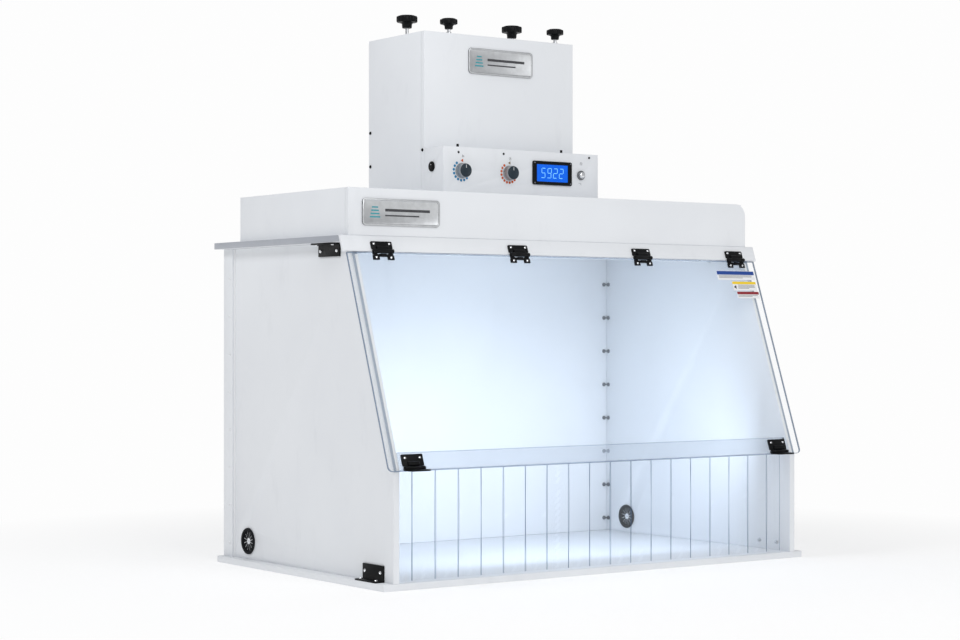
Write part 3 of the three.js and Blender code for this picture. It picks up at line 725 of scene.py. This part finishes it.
petal = petal_shape(6.2 * MM, 19.5 * MM, 0.5 * MM, 1.1 * MM)
for side, sx in (("left", -1), ("right", 1)):
    node = f"grommet_{side}"
    low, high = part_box(node)
    middle = middle_of(low, high)
    half = (high[0] - low[0]) / 2
    rim = half / MM
    ring = bmesh.new()
    profile = [
        (19.0, -6.0),
        (22.0, -6.2),
        (22.6, -6.6),
        (22.7, rim - 3.1),
        (25.2, rim - 3.0),
        (26.0, rim - 2.2),
        (25.6, rim - 0.6),
        (24.2, rim),
        (21.0, rim - 0.2),
        (19.4, rim - 1.8),
        (19.0, rim - 3.7),
        (1.2, rim - 3.8),
        (1.1, rim - 5.0),
        (19.0, rim - 5.2),
    ]
    points = [ring.verts.new((r * MM, 0, h * MM)) for r, h in profile]
    loop = [ring.edges.new((a, b)) for a, b in zip(points, points[1:] + points[:1])]
    bmesh.ops.spin(
        ring,
        geom=points + loop,
        axis=(0, 0, 1),
        cent=(0, 0, 0),
        angle=math.tau,
        steps=48,
        use_merge=True,
    )
    bmesh.ops.remove_doubles(ring, verts=ring.verts[:], dist=1e-6)
    membrane = Matrix.Translation((0, 0, half - 3.9 * MM))
    for k in range(PETALS):
        stamp(ring, petal, Matrix.Rotation(math.tau * k / PETALS, 4, "Z") @ membrane)
    bmesh.ops.recalc_face_normals(ring, faces=ring.faces[:])
    half_ring = keep_shape(ring, "grommet_half")
    shape = bmesh.new()
    stamp(shape, half_ring, facing(middle, X))
    stamp(shape, half_ring, facing(middle, -X))
    # The face of the disc behind the slit flaps takes the white sheet finish: painted light standing in for the
    # light that shows through the slits.
    painted_light_offset = half - 3.75 * MM
    paint_faces(
        shape, 1, lambda f: abs(abs(f.calc_center_median().x - middle.x) - painted_light_offset) < 0.03 * MM
    )
    finishes = [black_rubber, white_sheet]
    finish_piece(node + "_rubber", shape, "cabinet", finishes, 35.0, [node])


# ---------------------------------------------------------------- clamp knobs
def fluted(radius, dip, flutes, low, high, rounding):
    """A disc with scalloped edges between two heights."""
    bm = bmesh.new()
    made = bmesh.ops.create_circle(bm, cap_ends=True, segments=flutes * 6, radius=radius)
    for v in made["verts"]:
        angle = math.atan2(v.co.y, v.co.x)
        v.co *= 1.0 - dip / radius * (0.5 - 0.5 * math.cos(flutes * angle))
        v.co.z = low
    thicken(bm, bm.faces[:], high - low)
    bmesh.ops.recalc_face_normals(bm, faces=bm.faces[:])
    level = [e for e in bm.edges if abs(e.verts[0].co.z - e.verts[1].co.z) < 1e-7]
    bevel_edges(bm, [e for e in level if e.calc_face_angle(0) > 1], rounding, 3)
    return keep_shape(bm, "fluted")


for i in range(1, 5):
    node = f"clamp_knob_{i}"
    low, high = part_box(node)
    radius = (high[0] - low[0]) / 2
    height = high[2] - low[2]
    middle = middle_of(low, high)
    foot = Matrix.Translation((middle.x, middle.y, low[2]))
    neck, grip_foot = height - 0.66 * radius, height - 1.2 * radius
    head = fluted(radius, 1.5 * MM, 14, neck, height - 1.6 * MM, 2.2 * MM)
    crown = turned_mesh(
        "crown",
        40,
        [
            (0.0, height - 3 * MM),
            (radius * 0.84, height - 3 * MM),
            (radius * 0.8, height - 1.0 * MM),
            (radius * 0.7, height - 0.2 * MM),
            (radius * 0.6, height - 0.8 * MM),
            (radius * 0.3, height - 1.2 * MM),
            (0.0, height - 1.2 * MM),
        ],
    )
    hub = turned_mesh(
        "hub",
        36,
        [
            (0.0, grip_foot),
            (radius * 0.42, grip_foot),
            (radius * 0.46, grip_foot + 1.5 * MM),
            (radius * 0.48, neck - 3.5 * MM),
            (radius * 0.62, neck - 0.6 * MM),
            (radius * 0.9, neck + 0.4 * MM),
            (0.0, neck + 0.4 * MM),
        ],
    )
    sleeve = turned_mesh(
        "sleeve",
        24,
        [
            (0.0, 0.0),
            (7.5 * MM, 0.0),
            (7.5 * MM, 1.2 * MM),
            (5.2 * MM, 1.4 * MM),
            (5.2 * MM, 5.0 * MM),
            (3.4 * MM, 5.2 * MM),
            (3.4 * MM, grip_foot + 0.5 * MM),
            (0.0, grip_foot + 0.5 * MM),
        ],
    )
    shape = bmesh.new()
    for solid, index in ((head, 0), (crown, 0), (hub, 0), (sleeve, 1)):
        stamp(shape, solid, foot, index)
    finishes = [black_moulding, plated]
    finish_piece(node + "_grip", shape, f"clamp_{i}", finishes, 30.0, [node])

# ---------------------------------------------------------------- control panel
box_low, box_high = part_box("control_box")
panel_y = box_low[1]
dot = disc_shape(2.7 * MM, 0.2 * MM)
for name, dot_ink, pointer_ink, count, step in (
    ("fan", blue_ink, orange_ink, 9, 23),
    ("light", orange_ink, tan_ink, 10, 21),
):
    centre = Vector(joint[f"{name}_dial_turn"]["pos_m"])
    centre.y = panel_y
    marks = bmesh.new()
    for k in range(count):
        angle = math.radians(128 + step * k)
        spot = centre + Vector((math.cos(angle), 0, math.sin(angle))) * 19.0 * MM
        stamp(marks, dot, facing(spot, -Y))
    finish_piece(f"{name}_dial_dots", marks, "cabinet", [dot_ink])
    pointer = bmesh.new()
    pointer_at = centre + Z * 20.5 * MM + X * 1.5 * MM - Y * 0.1 * MM
    placed = facing(pointer_at, -Y, math.radians(90))
    add_cone(pointer, 3, 4.0 * MM, 3.9 * MM, 0.2 * MM, matrix=placed)
    finish_piece(f"{name}_dial_pointer", pointer, "cabinet", [pointer_ink])

    grip = fluted(14.1 * MM, 0.5 * MM, 36, 2.0 * MM, 14.6 * MM, 0.7 * MM)
    base = turned_mesh(
        "skirt",
        48,
        [
            (0.0, 0.3 * MM),
            (14.6 * MM, 0.3 * MM),
            (15.0 * MM, 0.8 * MM),
            (15.0 * MM, 2.0 * MM),
            (13.6 * MM, 3.6 * MM),
            (12.2 * MM, 4.6 * MM),
            (0.0, 4.6 * MM),
        ],
    )
    cap = turned_mesh(
        "cap",
        48,
        [
            (0.0, 14.2 * MM),
            (13.2 * MM, 14.2 * MM),
            (13.2 * MM, 15.8 * MM),
            (12.5 * MM, 16.4 * MM),
            (11.6 * MM, 16.6 * MM),
            (11.0 * MM, 16.3 * MM),
            (0.0, 16.3 * MM),
        ],
    )
    line = bar_shape(1.0 * MM, 6.0 * MM, 0.3 * MM)
    shape = bmesh.new()
    stamp(shape, base, facing(centre, -Y), 0)
    stamp(shape, grip, facing(centre, -Y), 0)
    stamp(shape, cap, facing(centre, -Y), 1)
    stamp(shape, line, facing(centre - Y * 16.2 * MM + Z * 8.0 * MM, -Y, 0.0), 2)
    finishes = [skirt_metal, dial_cap, label_paper]
    node = f"{name}_dial"
    finish_piece(node + "_knob", shape, node + "_body", finishes, 28.0, [node])

# Small generic symbols in place of words: a fan, a lamp and a power mark.
fan_at = Vector(joint["fan_dial_turn"]["pos_m"])
symbols = bmesh.new()
blade = bar_shape(1.0 * MM, 3.0 * MM, 0.15 * MM)
dash = bar_shape(0.6 * MM, 1.6 * MM, 0.15 * MM)
spot = disc_shape(0.8 * MM, 0.15 * MM, 12)
lamp_at = Vector(joint["light_dial_turn"]["pos_m"])
fan_mark = Vector((fan_at.x + 3 * MM, panel_y, fan_at.z + 29 * MM))
lamp_mark = Vector((lamp_at.x + 3 * MM, panel_y, fan_at.z + 29 * MM))
button_at = middle_of(*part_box("push_button"))
power_mark = Vector((button_at.x + 1 * MM, panel_y, button_at.z + 24 * MM))


def on_ring(angle, radius):
    return Vector((math.cos(angle), 0, math.sin(angle))) * radius * MM


for k in range(3):
    angle = math.tau * k / 3
    stamp(symbols, blade, facing(fan_mark + on_ring(angle, 1.9), -Y, angle + 0.5))
stamp(symbols, spot, facing(fan_mark, -Y))
stamp(symbols, spot, facing(lamp_mark, -Y, 0, 1.5))
for k in range(8):
    angle = math.tau * k / 8
    stamp(symbols, dash, facing(lamp_mark + on_ring(angle, 2.8), -Y, math.pi / 2 - angle))
for k in range(10):
    angle = math.radians(125 + 29 * k)
    stamp(symbols, dash, facing(power_mark + on_ring(angle, 2.6), -Y, -angle))
stamp(symbols, dash, facing(power_mark + Z * 2.0 * MM, -Y, 0, 1.5))
for k, length in enumerate((7.0, 4.0)):
    dash_at = Vector((button_at.x + (k * 2 - 2) * MM, panel_y, button_at.z - (16 + 3 * k) * MM))
    stamp(symbols, bar_shape(length * MM, 0.6 * MM, 0.15 * MM), facing(dash_at, -Y))
finish_piece("panel_symbols", symbols, "cabinet", [grey_ink])

# Display: bezel, lit screen and seven-segment digits.
low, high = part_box("display_bezel")
shape = soften(shaped_like("display_bezel"), 0.6 * MM, 2, 40.0)
for x in (low[0] + 4 * MM, high[0] - 4 * MM):
    for z in (low[2] + 3.6 * MM, high[2] - 3.6 * MM):
        stamp(shape, small_screw, facing((x, low[1], z), -Y, x * 90, 0.7), 1)
finishes = [black_moulding, dull_steel]
finish_piece(
    "display_surround", shape, "cabinet", finishes, 30.0, ["display_bezel"]
)
low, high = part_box("display_screen")
shape = soften(shaped_like("display_screen"), 0.3 * MM, 1)
finish_piece("display_pane", shape, "cabinet", [screen_glow], replaces=["display_screen"])

SEGMENTS = {"5": "afgcd", "9": "abcdfg", "2": "abged"}
BAR_ACROSS, BAR_UP, BAR_WIDE, BAR_GAP = 9.2 * MM, 9.6 * MM, 1.15 * MM, 1.4 * MM
DIGIT_PITCH = 15.2 * MM
flat_bar = bar_shape(BAR_ACROSS - BAR_GAP, BAR_WIDE, 0.2 * MM)
tall_bar = bar_shape(BAR_WIDE, BAR_UP - BAR_GAP, 0.2 * MM)
# Each segment's bar, and its place across and up from the middle of the digit.
layout = {
    "a": (flat_bar, 0, 1),
    "g": (flat_bar, 0, 0),
    "d": (flat_bar, 0, -1),
    "f": (tall_bar, -0.5, 0.5),
    "b": (tall_bar, 0.5, 0.5),
    "e": (tall_bar, -0.5, -0.5),
    "c": (tall_bar, 0.5, -0.5),
}
digits = bmesh.new()
screen_mid = middle_of(low, high)
for k, digit in enumerate("5922"):
    middle = Vector((screen_mid.x + (k - 1.5) * DIGIT_PITCH, low[1], screen_mid.z))
    for segment in SEGMENTS[digit]:
        bar, across, up = layout[segment]
        lean = up * BAR_UP * 0.12
        spot = middle + X * (across * BAR_ACROSS + lean) + Z * up * BAR_UP
        stamp(digits, bar, facing(spot, -Y))
finish_piece("display_digits", digits, "cabinet", [digit_glow])

# Push button, its collar and the round rocker switch.
shape = soften(shaped_like("button_collar"), 0.5 * MM, 2, 50.0)
finish_piece("button_ring", shape, "cabinet", [dark_rim], 30.0, ["button_collar"])
low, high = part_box("push_button")
radius = (high[0] - low[0]) / 2
depth = high[1] - low[1]
shape = turned_shape(
    [
        (0.0, 0.0),
        (radius, 0.0),
        (radius, depth - 3.4 * MM),
        (radius * 0.97, depth - 2.4 * MM),
        (radius * 0.88, depth - 1.4 * MM),
        (radius * 0.7, depth - 0.6 * MM),
        (radius * 0.42, depth - 0.12 * MM),
        (0.0, depth),
    ],
    40,
)
seated = facing((button_at.x, high[1], button_at.z), -Y)
bmesh.ops.transform(shape, matrix=seated, verts=shape.verts[:])
finish_piece("button_dome", shape, "button", [chrome], 35.0, ["push_button"])
for node, name in (("rocker_frame", "switch_ring"), ("rocker", "switch_rocker")):
    shape = soften(shaped_like(node), 0.35 * MM, 2, 50.0)
    if node == "rocker":
        low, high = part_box(node)
        middle = middle_of(low, high)
        middle.x = low[0]
        dot_at = middle + Z * 3.6 * MM + X * 0.35 * MM
        stamp(shape, disc_shape(0.9 * MM, 0.3 * MM), facing(dot_at, -X), 1)
    finishes = [black_moulding, label_paper]
    finish_piece(name, shape, body_of_node[node], finishes, 28.0, [node])

# Screws in the control box and the tower.
fixings = bmesh.new()
cap_head = disc_shape(2.6 * MM, 6.0 * MM, 24)
for x, drop in ((-151 * MM, 10.5 * MM), (-41 * MM, 9 * MM), (177 * MM, 7 * MM)):
    stamp(fixings, small_screw, facing((x, panel_y, box_high[2] - drop), -Y, x * 50))
for x in (-149 * MM, 109 * MM):
    stamp(fixings, cap_head, facing((x, panel_y + 6 * MM, box_high[2]), Z, x * 50))
tower_low, tower_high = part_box("tower_shell")
front_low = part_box("tower_front")[0]
SCREW_INSET = 6.4 * MM  # half a sheet in from the corner
for face_x, out in ((tower_low[0], -X), (tower_high[0], X)):
    for y, up in (
        (tower_high[1] - SCREW_INSET, 143 * MM),
        (tower_high[1] - SCREW_INSET, 74 * MM),
        (front_low[1] + SCREW_INSET, 96 * MM),
    ):
        z = tower_low[2] + up
        stamp(fixings, panel_screw, facing((face_x, y, z), out, z * 30))
finish_piece("dark_screws", fixings, "cabinet", [black_moulding])

# ---------------------------------------------------------------- nameplates without a name
teal_ink = ink("teal_ink", (0.02, 0.30, 0.36))
for node in ("nameplate_plenum", "nameplate_tower"):
    low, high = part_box(node)
    shape = soften(shaped_like(node), 0.7 * MM, 2, 40.0)
    paint_faces(shape, 1, lambda f: abs(f.normal.y) < 0.9)
    finishes = [brushed, dark_rim]
    finish_piece(node + "_plate", shape, "cabinet", finishes, 30.0, [node])
    wide, tall = high[0] - low[0], high[2] - low[2]
    motif = bmesh.new()

    def plate_bar(length, width, across, up, index):
        spot = Vector((low[0] + wide * across, low[1] + 1 * MM, low[2] + tall * up))
        stamp(motif, bar_shape(length, width, 0.25 * MM), facing(spot, -Y), index)

    for k in range(4):
        plate_bar(wide * 0.13 - k * 3 * MM, 2.6 * MM, 0.16, 0.32 + 0.12 * k, 0)
    for k, share in enumerate((0.58, 0.44)):
        plate_bar(wide * share, (5.0 - 2.4 * k) * MM, 0.29 + share / 2, 0.58 - 0.2 * k, 1)
    finish_piece(node + "_motif", motif, "cabinet", [teal_ink, dark_ink])

# ---------------------------------------------------------------- stickers on the sash
FACE_OUT = 6.05 * MM  # the sash's outer face
PRINT_OUT = FACE_OUT + 0.2 * MM


def sticker_bar(shape, length, width, thickness, at, index):
    stamp(shape, bar_shape(length, width, thickness), facing(at, out_slope), index)


# Edges and the height of the coloured band, in millimetres from the sash's pivot line.
for name, left, right, top, bottom, header, colour in (
    ("blue", 389, 492, -23, -43, 8, navy_label),
    ("yellow", 425, 491, -46, -66, 5.5, yellow_label),
    ("red", 432, 493, -68, -83, 6, red_label),
):
    wide, tall = (right - left) * MM, (top - bottom) * MM
    x = (left + right) / 2 * MM
    shape = bmesh.new()
    paper_at = on_sash(x, (top + bottom) / 2 * MM, FACE_OUT)
    sticker_bar(shape, wide, tall, 0.2 * MM, paper_at, 0)
    band_at = on_sash(x, (top - 0.5 - header / 2) * MM, PRINT_OUT)
    sticker_bar(shape, wide - 1 * MM, header * MM, 0.12 * MM, band_at, 1)
    rows = int((tall / MM - header - 3) / 2.4)
    indent = 0.22 if name == "yellow" else 0.04
    for k in range(rows):
        length = wide * (0.92 - indent - (0.25 if k == rows - 1 else 0.0))
        row_x = left * MM + wide * indent + length / 2
        row_at = on_sash(row_x, (top - header - 2.4 - 2.4 * k) * MM, PRINT_OUT)
        sticker_bar(shape, length, 0.9 * MM, 0.1 * MM, row_at, 2)
    if name == "yellow":
        sign = bmesh.new()
        add_cone(sign, 3, 5 * MM, 4.8 * MM, 0.2 * MM)
        mark = keep_shape(sign, "warning_triangle")
        at = on_sash(left * MM + 7 * MM, (top - header - 7) * MM, FACE_OUT + 0.25 * MM)
        stamp(shape, mark, facing(at, out_slope, math.radians(90)), 3)
    finish_piece(f"{name}_sticker", shape, "sash_unit", [label_paper, colour, grey_ink, dark_ink])


# ---------------------------------------------------------------- welds
def weld_bead(name, start, end, radius=1.3 * MM):
    """A slightly uneven round bead between two points."""
    start, end = Vector(start), Vector(end)
    length = (end - start).length
    bm = bmesh.new()
    steps = max(8, int(length / (7 * MM)))
    add_cone(bm, 8, radius, radius, length)
    rails = [e for e in bm.edges if abs(e.verts[0].co.z - e.verts[1].co.z) > length / 2]
    bmesh.ops.subdivide_edges(bm, edges=rails, cuts=steps, use_grid_fill=True)
    for v in bm.verts:
        swell = 1.0 + 0.14 * math.sin(v.co.z / MM * 0.9) * math.sin(v.co.z / MM * 0.23)
        v.co.x *= swell
        v.co.y *= swell
    placed = facing((start + end) / 2, end - start)
    bmesh.ops.transform(bm, matrix=placed, verts=bm.verts[:])
    finish_piece(name, bm, "cabinet", [bead_plastic], 50.0)


(left, front, foot), (right, rear, top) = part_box("plenum_shell")
weld_bead("weld_plenum_left", (left, front, foot), (left, rear, foot))
weld_bead("weld_plenum_right", (right, front, foot), (right, rear, foot))
weld_bead("weld_plenum_rear", (left, rear, foot), (right, rear, foot))
front, rear, foot = front_low[1], tower_high[1], tower_low[2]
for side, x in (("left", tower_low[0]), ("right", tower_high[0])):
    weld_bead(f"weld_tower_{side}", (x, front, foot), (x, rear, foot))

for side, end in (("left", 0), ("right", 1)):
    low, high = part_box(f"corner_angle_{side}")
    face_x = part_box(f"side_panel_{side}")[end][0]
    foot, top = (face_x, low[1], low[2]), (face_x, low[1], high[2])
    weld_bead(f"weld_angle_{side}", foot, top, 2.4 * MM)

# ---------------------------------------------------------------- floor and light
BACKDROP = 0.984  # the even brightness of the studio, which the floor blends into
floor_shape = bmesh.new()
bmesh.ops.create_grid(floor_shape, x_segments=2, y_segments=2, size=60.0)
floor_mesh = bpy.data.meshes.new("floor")
floor_shape.to_mesh(floor_mesh)
floor_shape.free()
floor = bpy.data.objects.new("floor", floor_mesh)
scene.collection.objects.link(floor)
floor.location = (0, 0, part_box("base_slab")[0][2])
floor_finish = Finish("studio_floor", Specular_IOR_Level=0.0, Roughness=1.0)
away = floor_finish.add("ShaderNodeVectorMath", operation="LENGTH")
floor_finish.link(floor_finish.place, away.inputs[0])
far_off = floor_finish.spread(away.outputs["Value"], 0.0, 1.0, 0.75, 1.5)
floor_finish.colour(floor_finish.blend(far_off, (0.50, 0.50, 0.50), (0.0, 0.0, 0.0)))
floor_glow = floor_finish.blend(far_off, (0.55, 0.55, 0.55), (BACKDROP,) * 3)
floor_finish.link(floor_glow, floor_finish.shader.inputs["Emission Color"])
floor_finish.shader.inputs["Emission Strength"].default_value = 1.0
floor_mesh.materials.append(floor_finish.material)

world = bpy.data.worlds.new("studio")
scene.world = world
world.use_nodes = True
sky = world.node_tree
sky_nodes, sky_links = sky.nodes, sky.links
soft_light = sky_nodes["Background"]
soft_light.inputs["Color"].default_value = (0.97, 0.98, 1.0, 1.0)
soft_light.inputs["Strength"].default_value = 0.51
backdrop = sky_nodes.new("ShaderNodeBackground")
backdrop.inputs["Color"].default_value = (*(BACKDROP,) * 3, 1.0)
backdrop.inputs["Strength"].default_value = 1.0
seen = sky_nodes.new("ShaderNodeLightPath")
pick = sky_nodes.new("ShaderNodeMixShader")
sky_links.new(seen.outputs["Is Camera Ray"], pick.inputs[0])
sky_links.new(soft_light.outputs[0], pick.inputs[1])
sky_links.new(backdrop.outputs[0], pick.inputs[2])
sky_links.new(pick.outputs[0], sky_nodes["World Output"].inputs["Surface"])


def area_light(name, place, aim, size, power, colour=(1.0, 1.0, 1.0), depth=None):
    """A rectangular light, square unless a depth is given."""
    data = bpy.data.lights.new(name, "AREA")
    data.shape = "RECTANGLE"
    data.size = size
    data.size_y = depth or size
    data.energy = power
    data.color = colour
    light = bpy.data.objects.new(name, data)
    light.location = place
    light.rotation_euler = (Vector(aim) - Vector(place)).to_track_quat("-Z", "Y").to_euler()
    scene.collection.objects.link(light)


lamp_low, lamp_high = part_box("light_bar")
lamp_y = (lamp_low[1] + lamp_high[1]) / 2
lamp_at, lamp_aim = (0, lamp_y, lamp_low[2] - 4 * MM), (0, lamp_y + 0.18, 0)
fill_at, fill_aim = (0.03, -0.22, 0.22), (0.03, 0.3, 0.24)
area_light("key_light", (-0.2, -3.8, 2.6), (0, 0, 0.75), 2.6, 58.0)
area_light("rim_light", (-3.0, 0.2, 3.2), (-0.2, 0.15, 1.0), 1.2, 38.0, (0.97, 0.98, 1.0))
area_light("chamber_lamp", lamp_at, lamp_aim, 0.62, 0.42, (0.62, 0.78, 1.0), 0.08)
area_light("chamber_fill", fill_at, fill_aim, 0.68, 1.7, (0.72, 0.84, 1.0), 0.1)

scene.view_settings.view_transform = "Standard"
